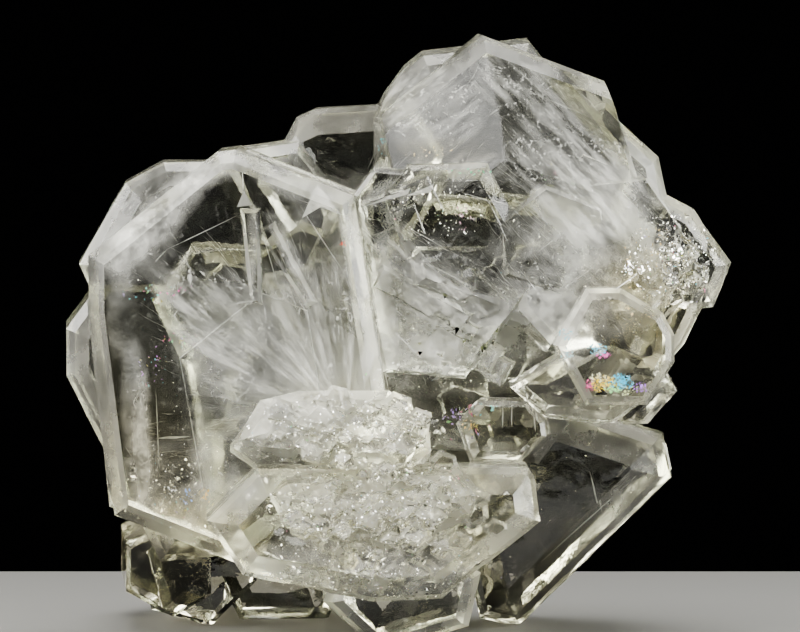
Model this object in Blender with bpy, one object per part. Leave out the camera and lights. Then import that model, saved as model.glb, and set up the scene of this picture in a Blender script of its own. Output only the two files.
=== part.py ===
"""A goshenite specimen: clear beryl plates grown together in nearly parallel order.

The specimen is one solid. Lengths below are millimetres, turned into metres by MM.
+Z is up, the display face looks towards -Y, and the origin is under the middle of
the specimen on the surface that it stands on.

Each crystal is the space inside a set of flat faces, as a real beryl is:
    sides   the outline seen along the crystal's axis, {direction in degrees: distance}.
            Direction 0 points right, 90 points up.
    front   distance from the crystal's centre to its front basal face,
    back    the same to its back basal face,
    rims    the sloping faces between a basal face and a side, from the outside in,
            as (width seen along the axis, slope from the basal face in degrees),
    nod     how far the axis tips up from the viewing direction, in degrees,
    turn    how far the axis turns towards +X, in degrees.
"""

import math
import random

import bmesh
import bpy
from mathutils import Matrix, Vector

MM = 0.001
STOCK = 160.0  # edge of the block that a crystal is cut from
WELD = 1e-4
SLIVER = 0.004  # points and edges shorter than this are joined up after the union
FLAT = math.radians(0.4)  # faces this close to one plane are one face
SEED = 1577

# The slopes of beryl's common sloping faces, from the basal face.
LOW_RIM = 29.9
MID_RIM = 44.9
STEEP_RIM = 63.4

THIN_RIMS = ((0.5, MID_RIM),)
PLAIN_RIMS = ((0.9, STEEP_RIM), (1.1, LOW_RIM))
BACK_RIMS = ((1.0, MID_RIM), (1.6, LOW_RIM))

# Narrow blades on the left plate's face: place, lean, half width, reach up and down.
BLADES = (
    ((-16.3, -9.9, 45.3), 1, 0.95, 5.2, 5.6),
    ((-12.5, -9.6, 44.3), 28, 0.95, 4.8, 5.4),
    ((-7.9, -9.3, 42.6), 30, 0.55, 6.6, 7.4),
)
BLADE_TAPER = 5  # degrees between a blade's two long edges


def cut(shape, point, normal):
    """Takes away what lies beyond the plane, and closes the cut with one flat face."""
    parts = shape.verts[:] + shape.edges[:] + shape.faces[:]
    bmesh.ops.bisect_plane(
        shape, geom=parts, dist=WELD, plane_co=point, plane_no=normal, clear_outer=True
    )
    rim = [edge for edge in shape.edges if edge.is_boundary]
    if rim:
        bmesh.ops.holes_fill(shape, edges=rim, sides=0)


def axes(nod, turn):
    """The crystal's right, up and forward directions, as the columns of a matrix."""
    plain = Matrix(((1, 0, 0), (0, 0, -1), (0, 1, 0)))
    tip = Matrix.Rotation(math.radians(-nod), 3, "X")
    swing = Matrix.Rotation(math.radians(turn), 3, "Z")
    return swing @ tip @ plain


def rim_planes(direction, distance, height, rims, facing):
    """(point, normal) of each sloping face along one side, from the basal face out."""
    reach = distance - sum(width for width, _ in rims)
    level = height
    for width, slope in reversed(rims):
        tilt = math.radians(slope)
        point = direction * reach + Vector((0, 0, facing * level))
        normal = direction * math.sin(tilt) + Vector((0, 0, facing * math.cos(tilt)))
        yield point, normal
        reach += width
        level -= width * math.tan(tilt)


def crystal(place, sides, front, back, rims=PLAIN_RIMS, back_rims=BACK_RIMS,
            nod=0.0, turn=0.0, own_rims=None):
    """One crystal as a closed mesh. own_rims gives single sides front rims of their own."""
    shape = bmesh.new()
    bmesh.ops.create_cube(shape, size=STOCK)
    cut(shape, (0, 0, front), (0, 0, 1))
    cut(shape, (0, 0, -back), (0, 0, -1))
    for degrees, distance in sides.items():
        angle = math.radians(degrees)
        direction = Vector((math.cos(angle), math.sin(angle), 0))
        cut(shape, direction * distance, direction)
        front_rims = (own_rims or {}).get(degrees, rims)
        for point, normal in rim_planes(direction, distance, front, front_rims, 1):
            cut(shape, point, normal)
        for point, normal in rim_planes(direction, distance, back, back_rims, -1):
            cut(shape, point, normal)
    place_matrix = Matrix.Translation(place) @ axes(nod, turn).to_4x4()
    bmesh.ops.transform(shape, matrix=place_matrix, verts=shape.verts)
    bmesh.ops.remove_doubles(shape, verts=shape.verts, dist=WELD)
    bmesh.ops.recalc_face_normals(shape, faces=shape.faces)
    return shape


def hexagon(radius, spin=0.0, squash=1.0):
    """An even six-sided outline; squash under 1 makes it lower than it is wide."""
    sides = {}
    for step in range(6):
        degrees = spin + 60 * step
        up = abs(math.sin(math.radians(degrees)))
        sides[degrees] = radius * (1 - (1 - squash) * up)
    return sides


def ledges(chance, place, sides, nod, turn, levels):
    """Thin plates that stand a little proud of a crystal's sides, as growth leaves them.

    levels are (how far in front of the crystal's centre, thickness).
    """
    bevel = ((0.25, MID_RIM),)
    for level, thickness in levels:
        proud = {degrees: distance + chance.uniform(-0.8, 0.3)
                 for degrees, distance in sides.items()}
        middle = Vector(place) + axes(nod, turn) @ Vector((0, 0, level))
        yield crystal(middle, proud, thickness / 2, thickness / 2, rims=bevel,
                      back_rims=bevel, nod=nod, turn=turn)


def left_plate(chance):
    """The large plate at the left, with its growth steps and the plates behind it."""
    outline = {9: 16.4, 69: 21.8, 97: 22.9, 129: 18.8, 180: 16.1, 187: 15.4, 249: 21.8,
               309: 18.5}
    broad = ((1.3, MID_RIM), (0.7, LOW_RIM))
    deep = ((1.4, MID_RIM), (3.0, LOW_RIM))
    place = (-18.6, -4.5, 33.6)
    yield crystal(place, outline, 5.2, 5.4, rims=broad, back_rims=deep, nod=1.5, turn=-4)
    yield from ledges(chance, place, outline, 1.5, -4, ((2.2, 1.3), (0.1, 1.0), (-1.8, 1.5)))
    # The side that stands back a little below the shoulder of the left edge.
    lower = {9: 14.0, 69: 11.0, 129: 15.2, 186: 15.9, 249: 21.2, 309: 17.0}
    yield crystal((-18.4, -3.4, 33.4), lower, 4.9, 4.6, rims=broad, nod=1.0, turn=-3)
    # A low growth step on the front face, and the blades that run down from the top corner.
    step = {9: 7.0, 69: 9.4, 129: 7.6, 190: 8.8, 249: 14.4, 309: 11.0}
    yield crystal((-15.4, -4.6, 31.4), step, 5.5, 1.0, rims=THIN_RIMS, nod=1.5, turn=-4)
    for place, tilt, half, up, down in BLADES:
        sides = {tilt: half, tilt + 90: up, tilt + 180 + BLADE_TAPER: half, tilt + 270: down}
        yield crystal(place, sides, 0.7, 2.0, rims=((0.5 * half, LOW_RIM),), back_rims=(),
                      nod=1.5, turn=-4)
    lower_left = {27: 14.7, 87: 17.0, 144: 18.8, 180: 15.2, 206: 11.2, 275: 15.6, 327: 14.0}
    yield crystal((-22.8, 4.6, 24.5), lower_left, 4.6, 4.0, rims=BACK_RIMS, nod=-2, turn=3)
    upper_left = {30: 9.0, 90: 10.2, 118: 10.9, 150: 11.2, 205: 13.0, 270: 8.0, 330: 8.0}
    yield crystal((-22.7, 3.2, 44.1), upper_left, 4.2, 4.4, rims=BACK_RIMS, nod=3, turn=2)
    top_right = {38: 7.5, 98: 7.5, 158: 7.0, 218: 7.0, 278: 7.0, 338: 7.0}
    yield crystal((-14.7, 3.0, 48.7), top_right, 3.6, 3.8, nod=-3, turn=5)


def upper_plates(chance):
    """The square-shouldered plate at the top middle and the tall one at the upper right."""
    shoulder = {34: 10.2, 94: 8.4, 114: 9.05, 152: 8.7, 214: 8.4, 274: 9.0, 334: 9.0}
    wide = {94: ((0.6, STEEP_RIM), (2.3, LOW_RIM)), 114: ((0.6, STEEP_RIM), (2.3, LOW_RIM))}
    yield crystal((-5.7, 6.0, 51.8), shoulder, 4.4, 5.2, nod=4, turn=-3, own_rims=wide)
    peak = {18: 14.9, 69: 15.6, 128: 15.1, 188: 12.2, 249: 14.0, 309: 17.0}
    long_slope = ((0.5, STEEP_RIM), (1.2, MID_RIM), (10.4, 14.0))
    slopes = {128: long_slope, 69: long_slope}
    place = (11.2, -1.6, 51.6)
    yield crystal(place, peak, 6.4, 4.6, nod=3, turn=5, own_rims=slopes)
    lower_sides = {**peak, 69: peak[69] - 0.6, 128: peak[128] - 0.6}
    yield from ledges(chance, place, lower_sides, 3, 5, ((1.4, 1.0), (-1.2, 1.4)))
    behind = {38: 13.0, 97: 16.6, 129: 17.7, 144: 17.0, 154: 16.55, 180: 14.4, 228: 14.0,
              288: 15.0, 342: 14.0}
    yield crystal((11.3, 3.6, 50.9), behind, 4.4, 4.6, nod=-2, turn=2)
    middle = {25: 10.0, 85: 10.7, 143: 11.5, 192: 7.4, 265: 12.5, 325: 11.0}
    yield crystal((3.4, -3.6, 43.8), middle, 4.6, 5.0, rims=THIN_RIMS, nod=-3, turn=-5)
    band = {30: 6.4, 92: 6.0, 148: 7.4, 205: 7.0, 270: 5.0, 325: 6.6}
    yield crystal((5.8, -4.6, 49.4), band, 4.7, 4.0, rims=((0.5, STEEP_RIM), (1.3, LOW_RIM)),
                  nod=-2, turn=3)
    # Small square blocks along the upper edge of the middle plate.
    for place, reach, spin in (((-2.4, -7.9, 49.6), 1.5, 20), ((0.4, -8.2, 50.9), 1.3, 14),
                               ((2.6, -8.4, 51.6), 1.6, 26), ((1.0, -8.6, 48.9), 1.4, 20)):
        block = {spin + 90 * quarter: reach * (1.0 + 0.35 * (quarter % 2)) for quarter in range(4)}
        yield crystal(place, block, 1.2, 2.4, rims=((0.2, MID_RIM),), back_rims=(), nod=-4)


def right_plates():
    """The stepped right-hand edge, the milky face and the small crystal with its rim."""
    milky = {35: 10.6, 95: 9.5, 155: 10.2, 184: 9.8, 222: 10.4, 275: 9.0, 335: 9.6}
    faint = ((0.3, LOW_RIM), (5.0, 7.0))
    fading = {35: faint, 95: faint, 155: faint}
    yield crystal((21.4, -3.6, 43.2), milky, 4.6, 5.0, nod=4, turn=6, own_rims=fading)
    shoulder = {12: 8.75, 48: 9.7, 108: 10.7, 168: 9.0, 228: 9.0, 288: 9.0, 348: 9.0}
    yield crystal((21.5, 2.2, 48.8), shoulder, 4.2, 4.4, nod=1, turn=4)
    corner = {35: 8.85, 62: 8.95, 155: 9.0, 215: 9.0, 275: 5.0, 337: 9.15, 120: 9.6}
    yield crystal((27.2, 2.0, 42.0), corner, 4.0, 4.2, nod=3, turn=8)
    lower_edge = {0: 7.1, 60: 7.5, 120: 7.0, 180: 7.0, 240: 7.0, 319: 6.15, 334: 5.6}
    yield crystal((28.3, 1.2, 38.7), lower_edge, 3.6, 3.8, nod=-2, turn=6)
    small = {0: 6.1, 28: 6.1, 60: 5.9, 90: 6.8, 150: 6.8, 208: 6.5, 270: 6.45, 328: 6.0}
    yield crystal((24.4, -7.0, 34.7), small, 4.6, 5.0, rims=((0.45, STEEP_RIM), (0.75, LOW_RIM)),
                  nod=2, turn=3)
    ledge = {41: 6.0, 121: 3.4, 160: 8.0, 229: 7.15, 262: 5.7, 272: 5.8, 307: 6.2}
    yield crystal((21.3, -5.2, 31.6), ledge, 2.4, 3.4, rims=THIN_RIMS, nod=-3, turn=2)
    beside = {31: 3.4, 91: 4.0, 151: 4.5, 211: 4.0, 271: 4.5, 319: 3.65}
    yield crystal((27.3, 4.2, 28.5), beside, 3.0, 3.4, nod=2, turn=-3)
    # Low steps that follow the right-hand edge.
    for place, reach, rise in (((21.0, -4.2, 51.0), 5.2, 2.3), ((26.4, -2.6, 44.0), 4.4, 2.0),
                               ((17.0, -6.8, 46.4), 6.2, 1.7), ((28.6, -2.4, 40.2), 3.3, 1.9)):
        yield crystal(place, hexagon(reach, 8, 0.9), rise, 3.0, rims=THIN_RIMS, nod=4, turn=7)


def lower_plates(chance):
    """The dark-windowed plate at the lower right, the bottom crystal and the hidden feet."""
    large = {12: 12.9, 72: 10.0, 132: 12.0, 192: 12.0, 259: 16.2, 315: 7.8}
    deep = ((1.2, STEEP_RIM), (2.9, LOW_RIM))
    place = (18.4, 10.0, 15.4)
    yield crystal(place, large, 5.0, 5.4, rims=deep, back_rims=deep, nod=2, turn=-4)
    yield from ledges(chance, place, large, 2, -4, ((0.8, 0.9), (-1.0, 1.1)))
    bottom = {47: 7.0, 107: 8.0, 167: 8.4, 226: 7.7, 287: 6.95, 347: 8.4}
    yield crystal((0.0, -0.5, 7.8), bottom, 8.6, 9.0, nod=-3, turn=3)
    low_foot = {0: 5.0, 60: 6.0, 120: 4.8, 180: 4.9, 240: 4.8, 300: 5.4}
    yield crystal((-27.2, 13.0, 7.2), low_foot, 6.0, 6.0, rims=THIN_RIMS, nod=-5, turn=6)
    yield crystal((-23.2, 15.0, 6.2), hexagon(6.2, 15), 6.4, 6.0, rims=THIN_RIMS, nod=4, turn=-4)
    yield crystal((-13.6, 17.0, 7.6), hexagon(8.4, 27), 5.0, 5.4, rims=THIN_RIMS, nod=3, turn=5)
    inner = {41: 4.4, 90: 3.6, 140: 4.6, 200: 4.6, 270: 3.5, 316: 3.85, 10: 4.85}
    yield crystal((11.8, -4.2, 24.6), inner, 3.8, 5.0, rims=THIN_RIMS, nod=5, turn=-6)


def back_plates(chance):
    """The crystals that only show from behind, which carry the front ones."""
    plates = (
        # place, outline, front, back, nod, turn
        ((-8.0, 8.5, 30.5), hexagon(15.5, 8, 0.95), 6.0, 5.6, 3, 4),
        ((9.5, 8.0, 35.0), hexagon(14.0, 24, 1.05), 6.0, 6.4, -5, -4),
        ((-10.5, 12.0, 17.5), hexagon(11.0, 0, 0.9), 5.0, 5.4, -8, 7),
        ((20.5, 9.5, 38.5), hexagon(9.0, 40), 4.0, 5.0, 6, 12),
        ((2.5, 10.5, 22.0), hexagon(9.5, 16), 5.0, 6.4, 4, -9),
        ((-19.5, 9.5, 37.5), hexagon(7.0, 27), 3.0, 4.2, -4, -6),
    )
    for place, sides, front, back, nod, turn in plates:
        yield crystal(place, sides, front, back, rims=BACK_RIMS, nod=nod, turn=turn)
        yield from ledges(chance, place, sides, nod, turn, ((-back + 2.4, 0.9),))
        # Low parallel crystals on the back face.
        for _ in range(5):
            reach = chance.uniform(0.16, 0.42) * min(sides.values())
            apart = 0.55 * min(sides.values())
            on_plate = Vector((chance.uniform(-apart, apart), chance.uniform(-apart, apart), -back))
            yield crystal(Vector(place) + axes(nod, turn) @ on_plate,
                          hexagon(reach, chance.uniform(0, 60), chance.uniform(0.7, 1.0)),
                          2.0, chance.uniform(0.3, 1.0), rims=(), back_rims=((0.3, MID_RIM),),
                          nod=nod + chance.uniform(-4, 4), turn=turn + chance.uniform(-4, 4))


def front_stack(chance):
    """The pile of rough plates at the lower middle, thick with small parallel crystals."""
    sloped = ((0.6, STEEP_RIM), (2.2, LOW_RIM))
    thick = ((1.4, STEEP_RIM), (1.6, LOW_RIM))
    lowest = {7: 16.4, 34: 15.5, 90: 5.0, 135: 14.0, 213: 17.6, 258: 10.2, 272: 9.85, 308: 11.1}
    waist = {39: 10.35, 94: 4.2, 130: 9.0, 162: 12.0, 211: 10.35, 256: 4.9, 291: 5.6, 338: 11.1}
    upper = {0: 9.6, 50: 6.6, 90: 4.5, 104: 5.6, 146: 9.7, 235: 8.7, 267: 4.3, 310: 8.0}
    plates = (
        # place, sides, front, back, rims, nod, turn, reach across, reach up, small crystals
        ((-1.1, -13.0, 17.0), lowest, 5.4, 6.5, sloped, 4, 2, 12.0, 7.0, 46),
        ((-3.1, -17.0, 18.3), waist, 4.0, 5.0, thick, 14, -2, 10.0, 4.4, 44),
        ((-6.1, -15.4, 26.3), upper, 4.4, 6.5, thick, 18, 1, 9.0, 3.8, 34),
    )
    for place, sides, front, back, rims, nod, turn, across, up, count in plates:
        yield crystal(place, sides, front, back, rims=rims, nod=nod, turn=turn)
        yield from crust(chance, place, front, nod, turn, across, up, count)


def crust(chance, place, front, nod, turn, across, up, count):
    """Low parallel crystals that roughen a plate's front face, scattered over an oval."""
    frame = axes(nod, turn)
    for _ in range(count):
        angle = chance.uniform(0, 2 * math.pi)
        share = math.sqrt(chance.random())
        reach = chance.uniform(0.9, 2.6) * (1.1 - 0.4 * share)
        on_plate = Vector((across * share * math.cos(angle), up * share * math.sin(angle), front))
        sides = hexagon(reach, 9 + chance.uniform(-8, 8), chance.uniform(0.45, 0.8))
        yield crystal(Vector(place) + frame @ on_plate, sides, chance.uniform(0.15, 0.75), 2.4,
                      rims=((0.3 * reach, LOW_RIM + chance.uniform(-8, 8)),), back_rims=(),
                      nod=nod + chance.uniform(-5, 9), turn=turn + chance.uniform(-7, 7))


def right_edge_crust(chance):
    """Small crystals that crowd the right-hand corner, each tipped its own way."""
    for _ in range(34):
        reach = chance.uniform(0.7, 2.1)
        place = (chance.uniform(25.0, 33.5), -4.4 + chance.uniform(-2.2, 1.4),
                 chance.uniform(38.5, 46.0))
        yield crystal(place, hexagon(reach, chance.uniform(0, 60), chance.uniform(0.6, 1.0)),
                      chance.uniform(0.4, 1.3), 2.6, rims=((0.35 * reach, LOW_RIM),),
                      back_rims=(), nod=chance.uniform(-14, 18), turn=chance.uniform(-12, 24))


def fracture_steps():
    """Broken steps that climb down the lower left of the middle plate."""
    for number in range(5):
        place = (2.2 + 1.5 * number, -7.5 + 0.35 * number, 40.2 - 1.7 * number)
        sides = {62: 1.5, 152: 5.4, 242: 1.6, 332: 6.4 - 0.5 * number, 28: 5.6}
        yield crystal(place, sides, 0.8, 2.6, rims=((0.4, MID_RIM),), back_rims=(),
                      nod=-6 + 3 * number, turn=-8)


def all_crystals():
    chance = random.Random(SEED)
    makers = (left_plate(chance), upper_plates(chance), right_plates(), lower_plates(chance),
              back_plates(chance), fracture_steps(), front_stack(chance), right_edge_crust(chance))
    for maker in makers:
        yield from maker


def as_object(name, shape):
    """Puts a mesh made in millimetres into the scene as an object in metres."""
    bmesh.ops.scale(shape, vec=(MM, MM, MM), verts=shape.verts)
    mesh = bpy.data.meshes.new(name)
    shape.to_mesh(mesh)
    shape.free()
    made = bpy.data.objects.new(name, mesh)
    bpy.context.scene.collection.objects.link(made)
    return made


def grown_together(crystals):
    """One mesh in millimetres: the union of the crystals, in which overlaps are gone."""
    scene = bpy.context.scene
    group = bpy.data.collections.new("crystals")
    scene.collection.children.link(group)
    first = None
    for number, shape in enumerate(crystals):
        mesh = bpy.data.meshes.new(f"crystal_{number}")
        shape.to_mesh(mesh)
        shape.free()
        made = bpy.data.objects.new(f"crystal_{number}", mesh)
        if first is None:
            first = made
            scene.collection.objects.link(made)
        else:
            group.objects.link(made)
    union = first.modifiers.new("union", "BOOLEAN")
    union.operation = "UNION"
    union.operand_type = "COLLECTION"
    union.collection = group
    union.solver = "EXACT"
    union.use_self = False
    graph = bpy.context.evaluated_depsgraph_get()
    joined = bmesh.new()
    joined.from_object(first, graph)
    for made in [first, *group.objects]:
        bpy.data.objects.remove(made)
    bpy.data.collections.remove(group)
    return joined


def outer_body(shape):
    """Keeps the largest closed surface, so that no sealed gap or loose chip is left."""
    unseen = set(shape.faces)
    islands = []
    while unseen:
        stack = [unseen.pop()]
        island = []
        while stack:
            face = stack.pop()
            island.append(face)
            for edge in face.edges:
                for other in edge.link_faces:
                    if other in unseen:
                        unseen.remove(other)
                        stack.append(other)
        islands.append(island)
    islands.sort(key=len)
    for island in islands[:-1]:
        bmesh.ops.delete(shape, geom=island, context="FACES")


def tidied(shape):
    """Merges what lies in one plane, drops slivers, and leaves triangles."""
    bmesh.ops.remove_doubles(shape, verts=shape.verts, dist=SLIVER)
    bmesh.ops.dissolve_degenerate(shape, edges=shape.edges, dist=SLIVER)
    bmesh.ops.dissolve_limit(
        shape, angle_limit=FLAT, verts=shape.verts, edges=shape.edges, delimit={"NORMAL"}
    )
    outer_body(shape)
    bmesh.ops.triangulate(shape, faces=shape.faces)
    bmesh.ops.recalc_face_normals(shape, faces=shape.faces)


def centred(shape):
    """Moves the origin under the middle of the specimen."""
    for axis in range(2):
        places = [vert.co[axis] for vert in shape.verts]
        move = Vector((0, 0, 0))
        move[axis] = -(min(places) + max(places)) / 2
        bmesh.ops.translate(shape, vec=move, verts=shape.verts)


def clear_beryl():
    """Colourless, glassy, with beryl's refractive index."""
    material = bpy.data.materials.new("clear_beryl")
    material.use_nodes = True
    shader = material.node_tree.nodes["Principled BSDF"]
    shader.inputs["Base Color"].default_value = (0.95, 0.96, 0.95, 1.0)
    shader.inputs["Roughness"].default_value = 0.06
    shader.inputs["Metallic"].default_value = 0.0
    shader.inputs["Transmission Weight"].default_value = 1.0
    shader.inputs["IOR"].default_value = 1.577
    return material


def build():
    for old in list(bpy.data.objects):
        bpy.data.objects.remove(old)
    joined = grown_together(all_crystals())
    # The feet were broken off their rock, which leaves one level to stand on.
    cut(joined, (0, 0, 0), (0, 0, -1))
    tidied(joined)
    centred(joined)
    specimen = as_object("goshenite_cluster", joined)
    specimen.data.materials.append(clear_beryl())


build()
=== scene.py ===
"""The looks of a goshenite specimen: clear beryl plates with frosted rims, white healed
cracks, mirror-bright chips, and painted rainbow reflections inside and on the surface.

Lengths are metres, and MM turns millimetres into metres. Places inside the crystals are
given as pixels of the photograph with a depth, and at_photo() turns them into points.
"""

import math
import random

import bmesh
import bpy
import numpy as np
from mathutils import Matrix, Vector, noise
from mathutils.bvhtree import BVHTree


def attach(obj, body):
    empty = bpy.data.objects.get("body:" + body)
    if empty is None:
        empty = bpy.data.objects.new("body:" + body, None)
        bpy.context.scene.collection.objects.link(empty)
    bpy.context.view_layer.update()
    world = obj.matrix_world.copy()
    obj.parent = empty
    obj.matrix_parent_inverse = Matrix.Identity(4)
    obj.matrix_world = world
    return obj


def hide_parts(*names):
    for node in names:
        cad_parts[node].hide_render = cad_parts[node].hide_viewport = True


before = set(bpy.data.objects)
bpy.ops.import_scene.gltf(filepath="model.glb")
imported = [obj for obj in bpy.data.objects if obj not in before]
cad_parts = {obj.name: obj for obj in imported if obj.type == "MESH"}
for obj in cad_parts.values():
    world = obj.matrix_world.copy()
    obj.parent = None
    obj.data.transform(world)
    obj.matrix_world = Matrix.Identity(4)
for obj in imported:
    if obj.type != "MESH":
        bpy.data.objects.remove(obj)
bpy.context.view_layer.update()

MM = 0.001
NODE = "goshenite_cluster"
BERYL_IOR = 1.577
SEED = 31
COOL = (0.97, 0.965, 0.90)
WARM = (0.97, 0.92, 0.72)
# The grey of painted shade, mixed into the crystal's colour where it lies in shadow.
SHADE_GREY = (0.52, 0.50, 0.45)
SHARP = math.radians(14)
STANDING = 0.3 * MM

# Unseeded, noise_vector() would tilt the broken surface's facets differently in each run.
noise.seed_set(SEED)

# The photograph's view: its size, the width that a pixel covers at the specimen's
# middle, and where the camera stands.
PHOTO_WIDE, PHOTO_HIGH = 800, 632
PIXEL = 0.113 * MM
CAMERA_AWAY = 700 * MM
CAMERA_LIFT = math.radians(8)
LOOK_AT = Vector((0.25 * MM, -0.1 * MM, 37.0 * MM))
SENSOR = 36.0

CAMERA_RIGHT = Vector((1, 0, 0))
CAMERA_UP = Vector((0, math.sin(CAMERA_LIFT), math.cos(CAMERA_LIFT)))
CAMERA_FORWARD = Vector((0, math.cos(CAMERA_LIFT), -math.sin(CAMERA_LIFT)))
EYE = LOOK_AT - CAMERA_FORWARD * CAMERA_AWAY


def photo_ray(across, down):
    """The direction from the camera through a pixel of the photograph."""
    ray = (CAMERA_FORWARD * CAMERA_AWAY + CAMERA_RIGHT * ((across - PHOTO_WIDE / 2) * PIXEL)
           + CAMERA_UP * ((PHOTO_HIGH / 2 - down) * PIXEL))
    return ray.normalized()


def at_photo(across, down, depth):
    """The point that the photograph shows at a pixel, with depth millimetres as its Y."""
    ray = photo_ray(across, down)
    return EYE + ray * ((depth * MM - EYE.y) / ray.y)


def is_inside(point, clear=0.25 * MM):
    """Whether a point lies in the crystal, at least `clear` below its surface."""
    near, _, _, distance = SURFACE.find_nearest(point)
    if distance < clear:
        return False
    crossings = 0
    direction = Vector((0.31, 0.17, 0.94)).normalized()
    start = point.copy()
    while crossings < 40:
        hit, _, _, _ = SURFACE.ray_cast(start, direction)
        if hit is None:
            break
        crossings += 1
        start = hit + direction * 1e-6
    return crossings % 2 == 1


def linked(name, mesh):
    made = bpy.data.objects.new(name, mesh)
    bpy.context.scene.collection.objects.link(made)
    return made


def add_camera():
    data = bpy.data.cameras.new("camera")
    data.sensor_width = SENSOR
    data.lens = SENSOR * CAMERA_AWAY / (PHOTO_WIDE * PIXEL)
    data.clip_start = 0.01
    data.clip_end = 20
    camera = linked("camera", data)
    camera.location = EYE
    camera.rotation_euler = CAMERA_FORWARD.to_track_quat("-Z", "Y").to_euler()
    bpy.context.scene.camera = camera


def add_area(name, place, size, power, colour, aim=(0, 0, 0.037)):
    data = bpy.data.lights.new(name, "AREA")
    data.shape = "RECTANGLE"
    data.size, data.size_y = size
    data.energy = power
    data.color = colour
    light = linked(name, data)
    light.location = place
    light.rotation_euler = (Vector(aim) - Vector(place)).to_track_quat("-Z", "Y").to_euler()
    light.visible_camera = False


# Name, place in metres, size, power and colour.
LIGHTS = (
    ("left_soft", (-0.45, -0.12, 0.22), (0.30, 0.40), 4.5, (1.0, 0.99, 0.95)),
    ("right_soft", (0.45, -0.10, 0.18), (0.30, 0.40), 3.7, (0.99, 1.0, 0.97)),
    ("top_soft", (0.0, 0.06, 0.50), (0.45, 0.30), 4.0, (1.0, 0.99, 0.95)),
    ("front_fill", (-0.10, -0.75, 0.35), (0.60, 0.45), 3.9, (1.0, 1.0, 0.97)),
)


def add_lights():
    world = bpy.data.worlds.new("world")
    bpy.context.scene.world = world
    world.use_nodes = True
    world.node_tree.nodes["Background"].inputs["Color"].default_value = (0.002, 0.002, 0.0022, 1)
    for name, place, size, power, colour in LIGHTS:
        add_area(name, place, size, power, colour)


def principled(name, colour, roughness, **values):
    """A new material and its shader; values are sockets, with _ for a space."""
    material = bpy.data.materials.new(name)
    material.use_nodes = True
    shader = material.node_tree.nodes["Principled BSDF"]
    shader.inputs["Base Color"].default_value = (*colour, 1)
    shader.inputs["Roughness"].default_value = roughness
    for socket, value in values.items():
        shader.inputs[socket.replace("_", " ")].default_value = value
    return material, shader


class Nodes:
    """Short calls that add and link a material's nodes."""

    def __init__(self, material):
        self.tree = material.node_tree

    def add(self, kind, inputs=None, **settings):
        node = self.tree.nodes.new("ShaderNode" + kind)
        for name, value in settings.items():
            setattr(node, name, value)
        for name, value in (inputs or {}).items():
            if isinstance(value, bpy.types.NodeSocket):
                self.tree.links.new(value, node.inputs[name])
            else:
                node.inputs[name].default_value = value
        return node

    def link(self, output, socket):
        self.tree.links.new(output, socket)

    def attribute(self, name):
        return self.add("Attribute", attribute_name=name).outputs["Fac"]

    def ranged(self, value, low, high, to_low=0.0, to_high=1.0):
        settings = {"From Min": low, "From Max": high, "To Min": to_low, "To Max": to_high}
        return self.add("MapRange", {"Value": value, **settings}).outputs["Result"]

    def math(self, operation, first, second):
        node = self.add("Math", operation=operation)
        for socket, value in zip(node.inputs, (first, second)):
            if isinstance(value, bpy.types.NodeSocket):
                self.tree.links.new(value, socket)
            else:
                socket.default_value = value
        return node.outputs[0]


def add_floor():
    """A pale slab with a rounded back edge, close behind the specimen."""
    shape = bmesh.new()
    bmesh.ops.create_cube(shape, size=1)
    bmesh.ops.scale(shape, vec=(0.44, 0.24, 0.012), verts=shape.verts)
    bmesh.ops.translate(shape, vec=(0, -0.075, -0.0062), verts=shape.verts)
    bmesh.ops.bevel(shape, geom=shape.edges[:], offset=0.002, segments=4, affect="EDGES")
    mesh = bpy.data.meshes.new("floor")
    shape.to_mesh(mesh)
    shape.free()
    floor = linked("floor", mesh)
    mesh.shade_smooth()
    material, _ = principled("pale_floor", (0.27, 0.268, 0.26), 0.6)
    mesh.materials.append(material)


def smooth_step(low, high, value):
    share = np.clip((value - low) / (high - low), 0.0, 1.0)
    return share * share * (3 - 2 * share)


def photo_pixels(points):
    """The photo pixels, across and down, that show an array of points."""
    rays = points - np.array(EYE)
    scale = CAMERA_AWAY / PIXEL / (rays @ np.array(CAMERA_FORWARD))
    return (PHOTO_WIDE / 2 + rays @ np.array(CAMERA_RIGHT) * scale,
            PHOTO_HIGH / 2 - rays @ np.array(CAMERA_UP) * scale)


def soft_sum(fields, points):
    """How much soft ellipses in the photo cover each point, from 0 to 1.

    Each is (across, down, half width, half height, turn in degrees, amount).
    """
    across, down = photo_pixels(points)
    total = np.zeros(len(points))
    for middle, level, wide, high, turn, amount in fields:
        swing = math.radians(turn)
        right, drop = across - middle, down - level
        along = (right * math.cos(swing) - drop * math.sin(swing)) / wide
        over = (right * math.sin(swing) + drop * math.cos(swing)) / high
        total += amount * np.maximum(0.0, 1.0 - (along * along + over * over) ** 1.5)
    return np.minimum(total, 1.0)


# White streaks that fan out from the foot of the large left plate.
FAN_FIELDS = (
    (270, 350, 125, 80, -40, 0.95),
    (205, 300, 80, 40, -40, 0.50),
    (335, 290, 34, 110, 20, 0.45),
    (205, 430, 60, 60, 0, 0.35),
    (335, 375, 60, 45, 0, 0.75),
)
# Wisps that run up to the right in the top plate, and down to the right below it.
RISING_FIELDS = (
    (430, 105, 62, 52, 0, 0.70),
    (470, 175, 60, 26, 0, 0.45),
    (380, 190, 35, 30, 0, 0.35),
)
FALLING_FIELDS = (
    (455, 290, 105, 45, -38, 0.95),
    (560, 170, 70, 60, -50, 0.75),
    (520, 90, 60, 40, -30, 0.55),
    (620, 190, 50, 70, -50, 0.70),
    (400, 330, 50, 60, -60, 0.60),
    (595, 255, 85, 65, -50, 0.60),
)
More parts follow.
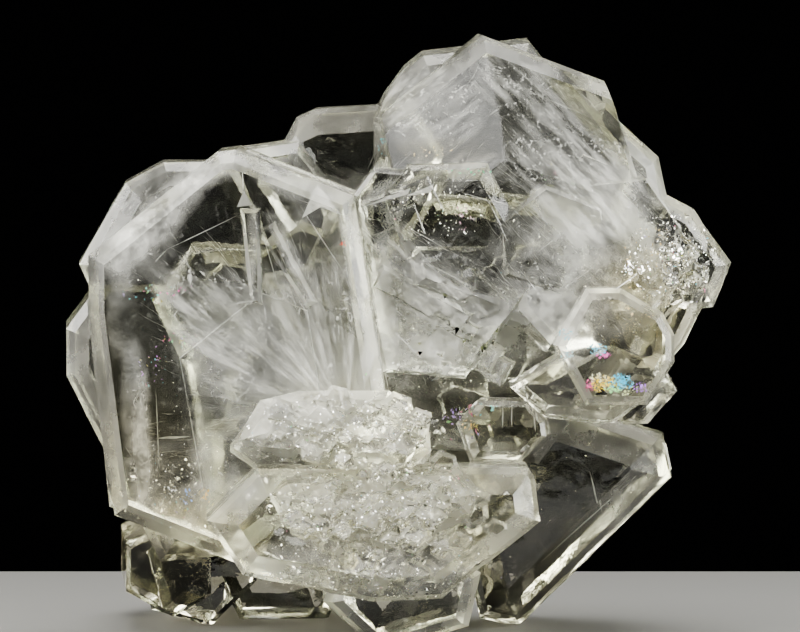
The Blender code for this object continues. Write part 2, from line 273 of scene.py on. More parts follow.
# Even, mottled milkiness.
CLOUD_FIELDS = (
    (585, 260, 105, 90, 0, 0.54),
    (545, 325, 55, 45, 0, 0.60),
    (345, 430, 120, 45, 0, 0.46),
    (370, 500, 120, 60, 0, 0.43),
    (370, 565, 140, 40, 0, 0.38),
    (460, 355, 90, 50, 0, 0.36),
    (185, 490, 80, 70, 0, 0.50),
    (620, 360, 70, 40, 0, 0.10),
    (130, 230, 60, 60, 0, 0.35),
    (265, 370, 110, 80, -38, 0.42),
    (345, 230, 30, 60, 20, 0.30),
    (420, 110, 50, 60, 0, 0.35),
    (440, 300, 90, 60, -38, 0.50),
    (400, 370, 60, 40, 0, 0.36),
    (251, 250, 9, 50, -4, 0.75),
    (289, 250, 11, 48, 28, 0.75),
    (350, 285, 10, 62, 16, 0.60),
    (155, 222, 80, 24, 42, 0.60),
    (215, 168, 60, 18, 20, 0.50),
    (290, 186, 50, 16, -24, 0.45),
    (122, 310, 18, 60, 0, 0.40),
    (135, 400, 16, 70, 0, 0.40),
    (142, 440, 12, 75, 0, 0.50),
    (385, 310, 14, 80, 4, 0.80),
)
# Where the surface is broken into small bright facets.
BROKEN_FIELDS = (
    (345, 432, 115, 42, 0, 0.8),
    (370, 508, 115, 52, 0, 0.9),
    (380, 572, 120, 30, 0, 0.7),
    (672, 262, 52, 55, 0, 0.9),
    (455, 355, 80, 50, 0, 0.6),
    (440, 300, 75, 75, 0, 0.60),
)
# Where the crystal is faintly yellow.
WARM_FIELDS = (
    (150, 470, 60, 100, 0, 1.0),
    (200, 540, 70, 50, 0, 1.0),
    (100, 380, 30, 100, 0, 0.5),
    (440, 152, 70, 16, 0, 0.9),
    (640, 300, 70, 70, 0, 0.8),
    (530, 570, 130, 60, 0, 0.4),
    (370, 490, 170, 120, 0, 0.4),
    (340, 125, 60, 30, 0, 0.4),
)
# Clear, dark places.
CLEAR_FIELDS = (
    (222, 238, 48, 50, 30, 0.9),
    (318, 245, 30, 34, 0, 0.8),
    (360, 270, 24, 40, 0, 0.7),
    (172, 435, 26, 70, 0, 0.7),
    (378, 152, 20, 34, 0, 0.9),
    (450, 250, 70, 30, -38, 0.7),
    (500, 190, 40, 30, 0, 0.5),
    (525, 435, 40, 36, 0, 0.8),
    (495, 492, 26, 36, 0, 0.9),
    (560, 480, 90, 80, 0, 0.9),
    (128, 320, 22, 30, 0, 0.8),
    (440, 215, 45, 26, 0, 0.7),
    (325, 145, 35, 30, 0, 0.7),
)
# Straight cracks: from (across, down) to (across, down), width and depth in millimetres.
CRACKS = (
    (228, 305, 264, 298, 0.22, 1.0),
    (155, 262, 168, 248, 0.14, 0.8),
    (166, 250, 240, 214, 0.10, 0.8),
    (243, 150, 244, 205, 0.10, 0.6),
    (156, 388, 160, 478, 0.12, 0.9),
    (156, 438, 190, 436, 0.30, 1.2),
    (300, 205, 344, 272, 0.12, 1.0),
    (344, 272, 366, 330, 0.12, 1.0),
    (268, 213, 312, 292, 0.12, 1.0),
    (262, 232, 280, 290, 0.10, 1.0),
    (300, 200, 345, 214, 0.12, 0.8),
    (305, 212, 338, 190, 0.12, 0.8),
    (430, 171, 496, 160, 0.16, 1.0),
    (545, 135, 592, 206, 0.12, 1.0),
    (536, 138, 580, 212, 0.10, 1.5),
    (556, 128, 600, 190, 0.10, 1.0),
    (568, 160, 577, 196, 0.16, 1.2),
    (400, 222, 470, 262, 0.10, 1.2),
    (400, 250, 500, 300, 0.14, 1.4),
    (388, 262, 470, 322, 0.12, 1.0),
    (380, 300, 450, 345, 0.12, 1.0),
    (456, 190, 520, 210, 0.10, 1.5),
    (505, 60, 560, 110, 0.10, 1.5),
    (500, 80, 590, 120, 0.10, 2.0),
    (590, 470, 600, 510, 0.16, 3.0),
    (540, 560, 640, 470, 0.14, 1.2),
    (503, 405, 503, 428, 0.20, 0.8),
    (512, 404, 512, 426, 0.16, 0.8),
    (534, 410, 536, 432, 0.20, 0.8),
    (386, 268, 452, 322, 0.14, 0.1),
    (392, 300, 480, 346, 0.18, 0.1),
    (384, 322, 436, 372, 0.14, 0.1),
    (412, 292, 500, 338, 0.12, 0.1),
    (404, 346, 478, 374, 0.14, 0.1),
    (440, 318, 508, 360, 0.12, 0.1),
    (390, 350, 424, 330, 0.10, 0.1),
    (452, 344, 488, 316, 0.10, 0.1),
    (396, 228, 436, 268, 0.16, 0.1),
    (418, 270, 476, 300, 0.14, 0.1),
    (538, 252, 574, 224, 0.12, 0.1),
    (560, 292, 602, 260, 0.12, 0.1),
    (598, 232, 642, 256, 0.10, 0.1),
    (574, 214, 602, 242, 0.12, 0.1),
    (518, 268, 546, 302, 0.12, 0.1),
    (612, 292, 640, 272, 0.10, 0.1),
)
TRIANGLES = (
    ((237, 207, 0.4), (244, 190, 0.5), (252, 205, 0.4)),
    ((302, 218, 0.5), (316, 187, 1.5), (322, 206, 0.6)),
    ((322, 206, 0.6), (316, 187, 1.5), (340, 215, 0.8)),
    ((358, 207, 0.5), (410, 188, 0.5), (408, 194, 0.5)),
    ((404, 196, 0.5), (434, 184, 0.5), (430, 192, 0.5)),
    ((560, 330, 0.6), (570, 328, 0.8), (566, 340, 0.6)),
    ((562, 350, 0.6), (574, 351, 0.8), (568, 358, 0.6)),
)
# Threads that follow no streak of the surface.
THREAD_FIELDS = (
    (590, 265, 95, 85, 0, 1.6),
    (430, 340, 80, 60, 0, 1.0),
    (180, 480, 60, 60, 0, 0.3),
    (560, 160, 70, 60, -50, 0.3),
)
FAN_FOOT = (350, 425)
THREADS_PER_PIXEL = 0.026
BIG_PLATE_FOOT = at_photo(*FAN_FOOT, -10)
MARKS = ("frost", "streak", "cloud")
STREAK_FIELDS = (FAN_FIELDS, RISING_FIELDS, FALLING_FIELDS)
BACK_CLOUD = 0.06
# Rims that melt into the milky crystal round them, and don't stand out.
MELTED_FIELDS = (
    (585, 322, 52, 44, 30, 1.0),
    (356, 300, 34, 120, 8, 0.55),
    (430, 380, 70, 20, 0, 0.7),
    (500, 200, 60, 40, 0, 0.6),
    (430, 200, 90, 60, 0, 0.6),
)
# The side of the large lower right plate, which is dark right through: it lies in shade, and its colour
# is greyed there as painted shade.
SHADED_CORNER = (14 * MM, 32 * MM)



def marks_at(points, normals):
    """The surface's frost, streaks and clouds, in MARKS order, and the painted shade at the foot and
    the lower right corner.
    """
    facing = np.abs(normals[:, 1])
    frost = 0.9 - 0.82 * smooth_step(0.90, 0.97, facing)
    frost = np.where(facing < 0.3, 0.6, frost)
    frost = np.where(normals[:, 1] > 0.2, 0.35 * frost, frost)
    # The low back of the foot lies in shade: it is less frosted there, and its colour is greyed as
    # painted shade.
    shaded_foot = smooth_step(0.016, 0.006, points[:, 2]) * smooth_step(-0.002, 0.006, points[:, 1])
    dark = smooth_step(-4 * MM, 2 * MM, points[:, 0] - SHADED_CORNER[0])
    corner = dark * smooth_step(-4 * MM, 2 * MM, SHADED_CORNER[1] - points[:, 2])
    dark = corner * (normals[:, 1] > 0.2)
    frost *= (1 - 0.8 * dark) * (1 - 0.85 * shaded_foot) * (1 - 0.8 * soft_sum(MELTED_FIELDS, points))
    near = smooth_step(0.35, -0.15, normals[:, 1])
    near = near * (1 - 0.85 * smooth_step(-0.25, -0.55, normals[:, 2]))
    near = near * (1 - soft_sum(CLEAR_FIELDS, points))
    streak = near * np.max([soft_sum(fields, points) for fields in STREAK_FIELDS], axis=0)
    cloud = near * soft_sum(CLOUD_FIELDS, points)
    cloud += (1 - near) * (normals[:, 1] > 0.3) * (1 - shaded_foot) * BACK_CLOUD
    # The second value is the painted shade: how much the colour greys at the foot and the shaded
    # corner.
    return (frost, streak, cloud), np.maximum(0.9 * shaded_foot, 0.6 * corner)


def tone_at(points, painted_shade):
    """The crystal's colour: clear, faintly yellow, or greyer with painted shade where the crystal lies
    in shadow.
    """
    warm = soft_sum(WARM_FIELDS, points)[:, None]
    colour = np.array((*COOL, 1)) * (1 - warm) + np.array((*WARM, 1)) * warm
    return colour * (1 - painted_shade[:, None] * (1 - np.array((*SHADE_GREY, 1))))


def slant(points, degrees):
    """Coordinates that change slowly along a slanting line, and fast across it."""
    swing = math.radians(degrees)
    along = points[:, 0] * math.cos(swing) + points[:, 2] * math.sin(swing)
    over = points[:, 2] * math.cos(swing) - points[:, 0] * math.sin(swing)
    return np.stack([over / (1.1 * MM), along / (8 * MM), points[:, 1] / (2.5 * MM)], axis=1)


def flow_at(points, centres):
    """Coordinates for streaks: each face takes the kind of streak that is strongest there."""
    from_foot = points - np.array(BIG_PLATE_FOOT)
    angle = np.arctan2(from_foot[:, 2], from_foot[:, 0])
    fanned = np.stack([angle * 11, np.linalg.norm(from_foot, axis=1) / (13 * MM),
                       points[:, 1] / (2.5 * MM)], axis=1)
    kinds = np.argmax([soft_sum(fields, centres) for fields in STREAK_FIELDS], axis=0)
    choices = (fanned, slant(points, 35), slant(points, -45))
    return np.choose(kinds[:, None], choices)


def broken(points, normals):
    """How broken into facets the surface is: nowhere at the back."""
    return np.where(normals[:, 1] > 0.2, 0.0, soft_sum(BROKEN_FIELDS, points))


def vectors(items):
    return np.array([tuple(item) for item in items])


def finely_cut(shape):
    """Splits long edges until the surface can take relief, least finely at the back."""
    for _ in range(6):
        edges = shape.edges[:]
        middles = vectors((edge.verts[0].co + edge.verts[1].co) / 2 for edge in edges)
        normals = vectors(edge.link_faces[0].normal for edge in edges)
        longest = np.where(normals[:, 1] > 0.2, 2.2, 0.92 - 0.46 * broken(middles, normals)) * MM
        lengths = np.array([edge.calc_length() for edge in edges])
        long_edges = [edge for edge, cut in zip(edges, lengths > longest) if cut]
        if not long_edges:
            break
        bmesh.ops.subdivide_edges(shape, edges=long_edges, cuts=1)
        bmesh.ops.triangulate(shape, faces=[face for face in shape.faces if len(face.verts) > 3])


def facet_height(point, size, steep):
    """Height of a surface of small tilted facets, `size` across, from 0 down."""
    scaled = point / size
    _, centres = noise.voronoi(scaled)
    tilt = noise.noise_vector(centres[0] * 7.3)
    return steep * size * tilt.dot(scaled - centres[0])


def relief(point, rough):
    """How far the surface lies below the solid's flat face, in metres."""
    depth = 0.05 * MM * (1 + noise.noise(point / (4.5 * MM)))
    depth += 0.02 * MM * (1 + noise.noise(point / (1.3 * MM)))
    if rough > 0.01:
        depth += rough * (0.35 * MM + facet_height(point, 3.0 * MM, 0.40)
                          + facet_height(point + Vector((0.1, 0, 0)), 1.2 * MM, 0.30))
    return max(0.0, depth)


def beryl_material():
    """Clear beryl. Frost is 0 on glassy faces and 1 on frosted ones, and the other marks
    say where white streaks and clouds show just below the surface."""
    material, shader = principled("beryl_surface", COOL, 0.05,
                                  Transmission_Weight=1.0, IOR=BERYL_IOR)
    nodes = Nodes(material)
    place = nodes.add("TexCoord").outputs["Object"]
    patches = nodes.add("TexNoise", {"Vector": place, "Scale": 170.0, "Detail": 6.0,
                                     "Roughness": 0.6})
    patchy = nodes.ranged(patches.outputs["Fac"], 0.36, 0.62, 0.30, 1.0)
    frost = nodes.math("MULTIPLY", nodes.attribute("frost"), patchy)

    flow = nodes.add("Attribute", attribute_name="flow").outputs["Vector"]
    fine = nodes.add("TexNoise", {"Vector": flow, "Scale": 1.0, "Detail": 6.0, "Roughness": 0.70})
    threads = nodes.ranged(fine.outputs["Fac"], 0.40, 0.62)
    streaks = nodes.math("MULTIPLY", nodes.math("MULTIPLY", threads, patchy),
                         nodes.attribute("streak"))
    mottle = nodes.add("TexNoise", {"Vector": place, "Scale": 330.0, "Detail": 6.0,
                                    "Roughness": 0.72})
    cloud = nodes.math("MULTIPLY", nodes.ranged(mottle.outputs["Fac"], 0.34, 0.66),
                       nodes.attribute("cloud"))
    veiled = nodes.math("MAXIMUM", nodes.attribute("streak"), nodes.attribute("cloud"))
    marked = nodes.math("MULTIPLY", hairlines(nodes, place), nodes.ranged(veiled, 0.0, 0.6, 0.12, 0.85))
    milky = nodes.math("MAXIMUM", nodes.math("MAXIMUM", streaks, cloud), marked)
    haze = nodes.math("MAXIMUM", milky, nodes.ranged(frost, 0.0, 1.0, 0.0, 0.22))
    nodes.link(nodes.ranged(haze, 0.0, 1.0, 1.0, 0.22), shader.inputs["Transmission Weight"])

    blur = nodes.math("ADD", nodes.math("MULTIPLY", milky, 0.10),
                      nodes.math("MULTIPLY", veiled, 0.30))
    tone = nodes.add("Attribute", attribute_name="tone")
    nodes.link(tone.outputs["Color"], shader.inputs["Base Color"])
    rough = nodes.math("ADD", nodes.ranged(frost, 0.0, 1.0, 0.02, 0.36), blur)
    nodes.link(rough, shader.inputs["Roughness"])
    waves = nodes.add("TexNoise", {"Vector": place, "Scale": 420.0, "Detail": 3.0,
                                   "Roughness": 0.6})
    height = nodes.math("MULTIPLY", waves.outputs["Fac"], nodes.ranged(frost, 0.0, 1.0, 0.8, 1.3))
    bump = nodes.add("Bump", {"Height": height, "Strength": 0.35, "Distance": 0.12 * MM})
    nodes.link(bump.outputs["Normal"], shader.inputs["Normal"])
    absorb = nodes.add("VolumeAbsorption")
    absorb.inputs["Color"].default_value = (0.92, 0.935, 0.80, 1)
    absorb.inputs["Density"].default_value = 24.0
    nodes.link(absorb.outputs["Volume"], material.node_tree.nodes["Material Output"].inputs["Volume"])
    return material


def hairlines(nodes, place):
    """Thin, broken, winding lines, as healed cracks leave, and fine specks between them."""
    winding = nodes.add("TexNoise", {"Vector": place, "Scale": 230.0, "Detail": 3.0,
                                     "Roughness": 0.55, "Distortion": 1.2})
    away = nodes.math("ABSOLUTE", nodes.math("SUBTRACT", winding.outputs["Fac"], 0.5), 0.0)
    lines = nodes.ranged(away, 0.0, 0.016, 1.0, 0.0)
    specks = nodes.add("TexNoise", {"Vector": place, "Scale": 2400.0, "Detail": 1.0})
    dots = nodes.ranged(specks.outputs["Fac"], 0.67, 0.80)
    broken_up = nodes.ranged(specks.outputs["Fac"], 0.42, 0.58)
    return nodes.math("MAXIMUM", nodes.math("MULTIPLY", lines, broken_up), dots)


def relieved(shape):
    """Sinks each point of a bmesh to the depth that relief() gives."""
    points = vectors(vert.co for vert in shape.verts)
    normals = vectors(vert.normal for vert in shape.verts)
    for vert, rough in zip(shape.verts, broken(points, normals)):
        if vert.co.z > STANDING:
            vert.co -= vert.normal * relief(vert.co, rough)


def add_crystal():
    """Makes the crystal, and returns its surface as a tree that rays can be cast at."""
    shape = bmesh.new()
    shape.from_mesh(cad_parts[NODE].data)
    bmesh.ops.remove_doubles(shape, verts=shape.verts, dist=0.001 * MM)
    finely_cut(shape)
    for edge in shape.edges:
        edge.smooth = edge.calc_face_angle(0.0) < SHARP
    relieved(shape)
    mesh = bpy.data.meshes.new("beryl")
    shape.to_mesh(mesh)
    surface = BVHTree.FromBMesh(shape)
    shape.free()
    mesh.polygons.foreach_set("use_smooth", [True] * len(mesh.polygons))
    places = vectors(vert.co for vert in mesh.vertices)
    corner_places = places[[loop.vertex_index for loop in mesh.loops]]
    corner_normals = np.repeat(vectors(face.normal for face in mesh.polygons), 3, axis=0)
    # The tone is greyed with painted shade at the foot and the lower right corner.
    marks, painted_shade = marks_at(corner_places, corner_normals)
    for mark, values in zip(MARKS, marks):
        mesh.attributes.new(mark, "FLOAT", "CORNER").data.foreach_set("value", values)
    tone = mesh.attributes.new("tone", "FLOAT_COLOR", "CORNER")
    tone.data.foreach_set("color", tone_at(corner_places, painted_shade).ravel())
    centres = np.repeat(vectors(face.center for face in mesh.polygons), 3, axis=0)
    flow = mesh.attributes.new("flow", "FLOAT_VECTOR", "CORNER")
    flow.data.foreach_set("vector", flow_at(corner_places, centres).ravel())
    mesh.materials.append(beryl_material())
    made = linked("beryl", mesh)
    print("beryl", len(mesh.polygons), "triangles")
    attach(made, "root")
    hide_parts(NODE)
    return surface


def add_cracks():
    """Straight bright cracks and flat bright triangles, each drawn one by one."""
    shape = bmesh.new()
    chance = random.Random(SEED)
    for across, down, to_across, to_down, width, depth in CRACKS:
        start = below_surface(across, down, depth * MM)
        end = below_surface(to_across, to_down, depth * MM * chance.uniform(0.6, 1.4))
        way = (end - start).normalized()
        side = way.cross(CAMERA_FORWARD).normalized() * (width * MM / 2)
        corners = (start, start.lerp(end, 0.35) + side, end, start.lerp(end, 0.6) - side)
        shape.faces.new([shape.verts.new(corner) for corner in corners])
    for corners in TRIANGLES:
        places = [below_surface(across, down, depth * MM) for across, down, depth in corners]
        shape.faces.new([shape.verts.new(place) for place in places])
    mesh = bpy.data.meshes.new("white_cracks")
    shape.to_mesh(mesh)
    shape.free()
    mesh.materials.append(white_material("crack_white", (0.97, 0.97, 0.94), 0.1))
    made = linked("white_cracks", mesh)
    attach(made, "root")


def white_material(name, colour, roughness):
    """White healed crack or broken chip, a little uneven in colour and shine."""
    material, shader = principled(name, colour, roughness)
    nodes = Nodes(material)
    place = nodes.add("TexCoord").outputs["Object"]
    uneven = nodes.add("TexNoise", {"Vector": place, "Scale": 500.0, "Detail": 2.0})
    ramp = nodes.add("ValToRGB", {"Fac": uneven.outputs["Fac"]})
    ramp.color_ramp.elements[0].position = 0.35
    ramp.color_ramp.elements[0].color = (*(0.72 * share for share in colour), 1)
    ramp.color_ramp.elements[1].position = 0.60
    ramp.color_ramp.elements[1].color = (*colour, 1)
    nodes.link(ramp.outputs["Color"], shader.inputs["Base Color"])
    nodes.link(nodes.ranged(uneven.outputs["Fac"], 0.3, 0.7, roughness, roughness + 0.25),
               shader.inputs["Roughness"])
    return material


def below_surface(across, down, depth):
    """The point `depth` metres behind the surface that a photo pixel shows, or None."""
    ray = photo_ray(across, down)
    hit, _, _, _ = SURFACE.ray_cast(EYE, ray)
    return None if hit is None else hit + ray * depth


def within(field, chance):
    """A random photo pixel in a soft ellipse, more often near its middle."""
    across, down, wide, high, turn, _ = field
    share = chance.random() ** 0.7
    angle = chance.uniform(0, 2 * math.pi)
    along, over = wide * share * math.cos(angle), high * share * math.sin(angle)
    swing = math.radians(turn)
    return (across + along * math.cos(swing) + over * math.sin(swing),
            down - along * math.sin(swing) + over * math.cos(swing))


def add_thread(shape, start, way, length, width, chance):
    """A sliver from `start` along `way`, bent a little and widest in the middle."""
    side = way.cross(Vector((chance.uniform(-0.6, 0.6), 1, chance.uniform(-0.6, 0.6)))).normalized()
    bow = side * (length * chance.uniform(-0.10, 0.10))
    middle = start + way * (length * 0.5) + bow
    end = start + way * length
    if not (is_inside(start) and is_inside(middle) and is_inside(end)):
        return
    corners = (start, middle + side * (width / 2), end, middle - side * (width / 2))
    shape.faces.new([shape.verts.new(corner) for corner in corners])


def fan_way(across, down):
    return (across - FAN_FOOT[0], FAN_FOOT[1] - down)


def rising_way(across, down):
    return (0.62, 0.78)


def falling_way(across, down):
    return (-0.74, 0.67)


def add_threads():
    """White threads inside the crystal, along the streaks that its surface shows."""
    chance = random.Random(SEED)
    shape = bmesh.new()
    for fields, way_at in ((FAN_FIELDS, fan_way), (RISING_FIELDS, rising_way),
                           (FALLING_FIELDS, falling_way), (THREAD_FIELDS, falling_way)):
        for field in fields:
            wide, high, amount = field[2], field[3], field[5]
            for _ in range(int(THREADS_PER_PIXEL * wide * high * amount)):
                across, down = within(field, chance)
                start = below_surface(across, down, (0.15 + 6.0 * chance.random() ** 2) * MM)
                right, rise = way_at(across, down)
                stray = chance.gauss(0, 0.16)
                way = (CAMERA_RIGHT * (right - stray * rise) + CAMERA_UP * (rise + stray * right)
                       + CAMERA_FORWARD * (chance.gauss(0, 0.25) * math.hypot(right, rise)))
                length = (1.0 + 5.0 * chance.random() ** 2) * MM
                if start is not None:
                    add_thread(shape, start, way.normalized(), length,
                               chance.uniform(0.012, 0.045) * MM, chance)
    mesh = bpy.data.meshes.new("white_threads")
    shape.to_mesh(mesh)
    shape.free()
    mesh.materials.append(white_material("thread_white", (0.95, 0.95, 0.91), 0.4))
    made = linked("white_threads", mesh)
    print("threads", len(mesh.polygons))
    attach(made, "root")


def shining(place, chance):
    """A way to face from which a mirror at `place` shows the camera one of the lights."""
    to_light = (Vector(chance.choice(LIGHTS)[1]) - place).normalized()
    facing = to_light + (EYE - place).normalized()
    stray = Vector((chance.gauss(0, 0.06), chance.gauss(0, 0.06), chance.gauss(0, 0.06)))
    return (facing.normalized() + stray).normalized()


def chip(shape, chance, place, size, lean, facing=None):
    """A thin three- or four-cornered shard, tipped away from facing the camera."""
    if facing is None:
        facing = Vector((chance.uniform(-lean, lean), -1, chance.uniform(-lean, lean))).normalized()
    turn = chance.uniform(0, math.pi)
    side = facing.cross(Vector((math.sin(turn), 0, math.cos(turn)))).normalized()
    rise = side.cross(facing) * chance.uniform(0.15, 0.7)
    count = chance.choice((3, 4))
    corners = []
    for corner in range(count):
        angle = 2 * math.pi * (corner + chance.uniform(-0.3, 0.3)) / count
        corners.append(place + size * (side * math.cos(angle) + rise * math.sin(angle)))
    return shape.faces.new([shape.verts.new(corner) for corner in corners])


def add_chips(name, fields, material, tints=None):
    """Scatters chips a little below the surface that the camera sees.

    fields are (across, down, half width, half height, smallest, largest size in mm,
    how far below the surface in mm, lean, how many).
    """
    chance = random.Random(SEED + len(name))
    shape = bmesh.new()
    tint_layer = shape.loops.layers.float_color.new("tint")
    for across, down, wide, high, small, large, below, lean, count in fields:
        for _ in range(count):
            angle = chance.uniform(0, 2 * math.pi)
            share = math.sqrt(chance.random())
            ray = photo_ray(across + wide * share * math.cos(angle),
                            down + high * share * math.sin(angle))
            hit, _, _, _ = SURFACE.ray_cast(EYE, ray)
            size = small * MM * (large / small) ** (chance.random() ** 1.6)
            depth = chance.uniform(0.3, below) * MM + size * 0.5
            # With tints, each chip's colour is a painted rainbow reflection.
            tint = chance.choice(tints) if tints else (1, 1, 1)
            if hit is None or not is_inside(hit + ray * depth, size * 0.6):
                continue
            place = hit + ray * depth
            facing = shining(place, chance) if chance.random() < SHINING_SHARE else None
            face = chip(shape, chance, place, size, lean, facing)
            for loop in face.loops:
                loop[tint_layer] = (*tint, 1)
    mesh = bpy.data.meshes.new(name)
    shape.to_mesh(mesh)
    shape.free()
    mesh.materials.append(material)
    made = linked(name, mesh)
    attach(made, "root")


WHITE_FIELDS = (
    (340, 435, 105, 40, 0.05, 0.30, 3.0, 0.6, 350),
    (365, 505, 115, 50, 0.05, 0.30, 3.5, 0.6, 450),
    (370, 565, 130, 30, 0.05, 0.30, 4.0, 0.6, 200),
    (670, 262, 46, 42, 0.05, 0.40, 4.0, 0.6, 120),
    (590, 265, 95, 85, 0.04, 0.20, 8.0, 0.6, 220),
    (455, 300, 85, 90, 0.04, 0.30, 8.0, 0.6, 220),
    (250, 360, 110, 90, 0.03, 0.10, 8.0, 0.6, 130),
    (180, 470, 60, 80, 0.03, 0.14, 8.0, 0.6, 90),
    (500, 110, 100, 70, 0.03, 0.09, 8.0, 0.6, 50),
    (300, 230, 60, 60, 0.03, 0.10, 8.0, 0.6, 50),
)
CHIP_FIELDS = (
    (340, 435, 105, 40, 0.06, 0.45, 3.0, 0.9, 420),
    (365, 500, 115, 45, 0.06, 0.50, 3.5, 0.9, 560),
    (370, 565, 130, 30, 0.06, 0.45, 4.0, 0.9, 260),
    (670, 262, 46, 42, 0.06, 0.60, 4.0, 0.9, 240),
    (590, 250, 90, 80, 0.05, 0.25, 6.0, 0.9, 120),
    (430, 360, 80, 50, 0.05, 0.22, 5.0, 0.9, 160),
    (180, 490, 60, 40, 0.06, 0.40, 6.0, 0.9, 160),
    (440, 210, 60, 30, 0.05, 0.30, 5.0, 0.9, 90),
    (230, 300, 110, 120, 0.03, 0.12, 7.0, 0.9, 110),
    (560, 500, 90, 80, 0.03, 0.14, 8.0, 0.9, 110),
    (520, 120, 90, 70, 0.03, 0.10, 8.0, 0.9, 30),
)
# Glints in the surface: (across, down, half width, half height, smallest and largest size
# in mm, lean, how many).
GLINT_FIELDS = (
    (345, 432, 105, 38, 0.04, 0.20, 0.45, 600),
    (370, 508, 110, 48, 0.04, 0.20, 0.45, 760),
    (380, 572, 125, 30, 0.04, 0.17, 0.45, 380),
    (670, 262, 48, 48, 0.05, 0.30, 0.6, 300),
    (632, 268, 12, 8, 0.10, 0.45, 0.6, 50),
    (673, 253, 15, 11, 0.10, 0.50, 0.6, 70),
    (690, 285, 14, 14, 0.06, 0.30, 0.6, 30),
    (400, 375, 40, 14, 0.04, 0.20, 0.6, 60),
    (455, 350, 80, 50, 0.02, 0.09, 0.45, 90),
    (590, 265, 95, 85, 0.02, 0.08, 0.45, 110),
    (190, 480, 60, 60, 0.02, 0.10, 0.45, 160),
    (440, 215, 50, 30, 0.03, 0.16, 0.45, 120),
    (250, 330, 110, 90, 0.02, 0.06, 0.45, 50),
    (560, 150, 80, 80, 0.02, 0.06, 0.45, 40),
)
# Painted rainbow glints are this many times fewer than mirror glints.
PAINTED_RAINBOW_SHARE = 7
SHINING_SHARE = 0.75
# Chips coloured as painted rainbow reflections; the columns are those of add_chips.
PAINTED_RAINBOW_FIELDS = (
    (155, 292, 30, 12, 0.08, 0.30, 4.0, 0.5, 30),
    (178, 340, 20, 10, 0.08, 0.30, 4.0, 0.5, 20),
    (155, 368, 18, 18, 0.08, 0.25, 4.0, 0.5, 20),
    (185, 505, 30, 16, 0.08, 0.30, 4.0, 0.5, 26),
    (560, 175, 22, 14, 0.10, 0.30, 4.0, 0.5, 16),
    (470, 425, 24, 20, 0.15, 0.50, 4.0, 0.5, 20),
    (440, 490, 30, 20, 0.10, 0.30, 4.0, 0.5, 14),
)
# Painted rainbow reflections, some near white as painted highlights, on the surface:
# (across, down, half width, half height, shards, colour).
PAINTED_RAINBOW_FLASHES = (
    (603, 384, 14, 9, 200, (1.0, 0.72, 0.06)),
    (599, 378, 10, 5, 60, (1.0, 0.95, 0.60)),
    (590, 386, 6, 8, 60, (1.0, 0.12, 0.40)),
    (621, 382, 13, 8, 190, (0.10, 0.70, 1.0)),
    (613, 387, 10, 6, 90, (0.45, 0.95, 0.40)),
    (630, 391, 12, 5, 50, (0.85, 0.90, 0.50)),
    (640, 388, 7, 6, 50, (0.60, 0.25, 1.0)),
    (597, 349, 10, 6, 90, (0.30, 0.78, 1.0)),
    (604, 355, 8, 4, 50, (1.0, 0.20, 0.60)),
    (600, 351, 5, 3, 30, (0.95, 0.98, 1.0)),
    (566, 334, 7, 6, 60, (0.50, 0.90, 1.0)),
    (567, 354, 7, 6, 60, (0.70, 0.97, 1.0)),
    (455, 418, 14, 9, 22, (0.62, 0.40, 0.95)),
    (470, 428, 12, 8, 22, (0.95, 0.62, 0.22)),
    (493, 408, 5, 3, 12, (0.15, 0.70, 0.62)),
    (188, 498, 8, 10, 22, (0.30, 0.50, 1.0)),
    (204, 497, 7, 9, 22, (1.0, 0.66, 0.20)),
    (170, 490, 8, 5, 18, (1.0, 1.0, 0.94)),
    (150, 292, 28, 10, 14, (0.30, 0.85, 0.80)),
    (168, 290, 28, 10, 10, (0.95, 0.25, 0.55)),
    (178, 340, 18, 9, 10, (0.30, 0.90, 0.35)),
    (155, 366, 14, 20, 12, (0.75, 0.35, 0.90)),
    (345, 245, 5, 4, 10, (0.85, 0.16, 0.08)),
    (470, 172, 22, 3, 20, (0.25, 0.80, 0.45)),
    (425, 152, 28, 6, 24, (0.95, 0.80, 0.45)),
    (382, 146, 5, 14, 14, (0.12, 0.45, 0.50)),
    (465, 218, 14, 14, 26, (0.90, 0.55, 0.70)),
    (655, 250, 40, 24, 60, (1.0, 0.80, 0.42)),
    (640, 300, 30, 20, 30, (1.0, 0.78, 0.40)),
)
PROUD = 0.015 * MM
# The colours of painted rainbow reflections.
PAINTED_RAINBOW_TINTS = (
    (1.0, 0.35, 0.55), (0.35, 0.85, 1.0), (0.55, 1.0, 0.5), (1.0, 0.9, 0.35), (0.65, 0.5, 1.0),
)


def add_painted_flashes(material):
    """Clusters of tiny coloured shards that lie on the surface, as painted rainbow reflections."""
    chance = random.Random(SEED)
    shape = bmesh.new()
    tint_layer = shape.loops.layers.float_color.new("tint")
    for across, down, wide, high, count, colour in PAINTED_RAINBOW_FLASHES:
        for _ in range(count):
            place = below_surface(*within((across, down, wide, high, 0, 1), chance), -PROUD)
            if place is None:
                continue
            size = (0.05 + 0.22 * chance.random() ** 2) * MM
            face = chip(shape, chance, place, size, 0.15)
            # Some are paled towards white, as painted highlights.
            pale = 0.4 * chance.random() ** 4
            for loop in face.loops:
                loop[tint_layer] = (*(part + (1 - part) * pale for part in colour), 1)
    mesh = bpy.data.meshes.new("painted_rainbow_flashes")
    shape.to_mesh(mesh)
    shape.free()
    mesh.materials.append(material)
    made = linked("painted_rainbow_flashes", mesh)
    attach(made, "root")


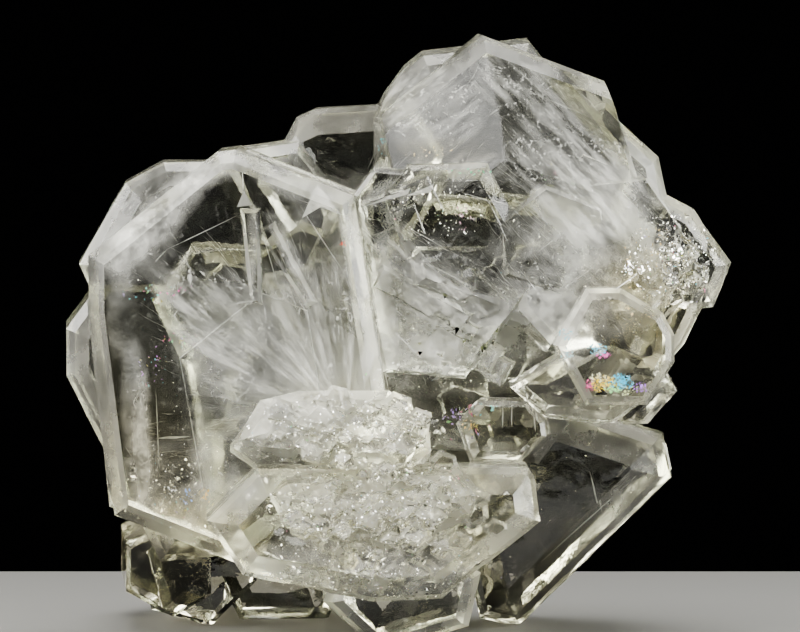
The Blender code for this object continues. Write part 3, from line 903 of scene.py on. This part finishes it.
def add_glints(name, material, tints=None):
    """Tiny mirrors that lie in the broken surface, or with tints, shards coloured as painted rainbow
    reflections.
    """
    chance = random.Random(SEED + len(name))
    shape = bmesh.new()
    tint_layer = shape.loops.layers.float_color.new("tint")
    for across, down, wide, high, small, large, lean, count in GLINT_FIELDS:
        if tints:
            count //= PAINTED_RAINBOW_SHARE
        for _ in range(count):
            spot_across, spot_down = within((across, down, wide, high, 0, 1), chance)
            size = small * MM * (large / small) ** (chance.random() ** 2)
            shines = chance.random() < SHINING_SHARE
            below = -PROUD if shines else size * chance.uniform(0.2, 0.8)
            place = below_surface(spot_across, spot_down, below)
            tint = chance.choice(tints) if tints else (1, 1, 1)
            if place is None:
                continue
            facing = shining(place, chance) if shines else None
            face = chip(shape, chance, place, size, lean, facing)
            for loop in face.loops:
                loop[tint_layer] = (*tint, 1)
    mesh = bpy.data.meshes.new(name)
    shape.to_mesh(mesh)
    shape.free()
    mesh.materials.append(material)
    made = linked(name, mesh)
    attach(made, "root")


def mirror_material():
    material, shader = principled("bright_chips", (0.96, 0.95, 0.91), 0.12, Metallic=1.0)
    nodes = Nodes(material)
    place = nodes.add("TexCoord").outputs["Object"]
    uneven = nodes.add("TexNoise", {"Vector": place, "Scale": 900.0, "Detail": 2.0})
    nodes.link(nodes.ranged(uneven.outputs["Fac"], 0.3, 0.7, 0.06, 0.22), shader.inputs["Roughness"])
    return material


# Painted rainbow reflections: a dull shard coloured by its tint.
def painted_rainbow_material():
    material, shader = principled("rainbow_chips", (1, 1, 1), 0.55, Specular_IOR_Level=0.15)
    nodes = Nodes(material)
    tint = nodes.add("Attribute", attribute_name="tint")
    nodes.link(tint.outputs["Color"], shader.inputs["Base Color"])
    return material


bpy.context.scene.cycles.caustics_reflective = False
bpy.context.scene.cycles.max_bounces = 10
bpy.context.scene.cycles.diffuse_bounces = 2
bpy.context.scene.cycles.glossy_bounces = 6
bpy.context.scene.cycles.transmission_bounces = 10
bpy.context.scene.view_settings.look = "AgX - Medium High Contrast"
add_camera()
add_lights()
add_floor()
SURFACE = add_crystal()
add_threads()
add_cracks()
add_chips("white_chips", WHITE_FIELDS, white_material("chip_white", (0.96, 0.96, 0.93), 0.15))
MIRROR = mirror_material()
add_chips("bright_chips", CHIP_FIELDS, MIRROR)
# The rainbow chips, flashes and tinted glints are painted rainbow reflections.
PAINTED_RAINBOW = painted_rainbow_material()
add_chips("rainbow_chips", PAINTED_RAINBOW_FIELDS, PAINTED_RAINBOW, PAINTED_RAINBOW_TINTS)
add_painted_flashes(PAINTED_RAINBOW)
add_glints("bright_glints", MIRROR)
add_glints("tinted_glints", PAINTED_RAINBOW, PAINTED_RAINBOW_TINTS)
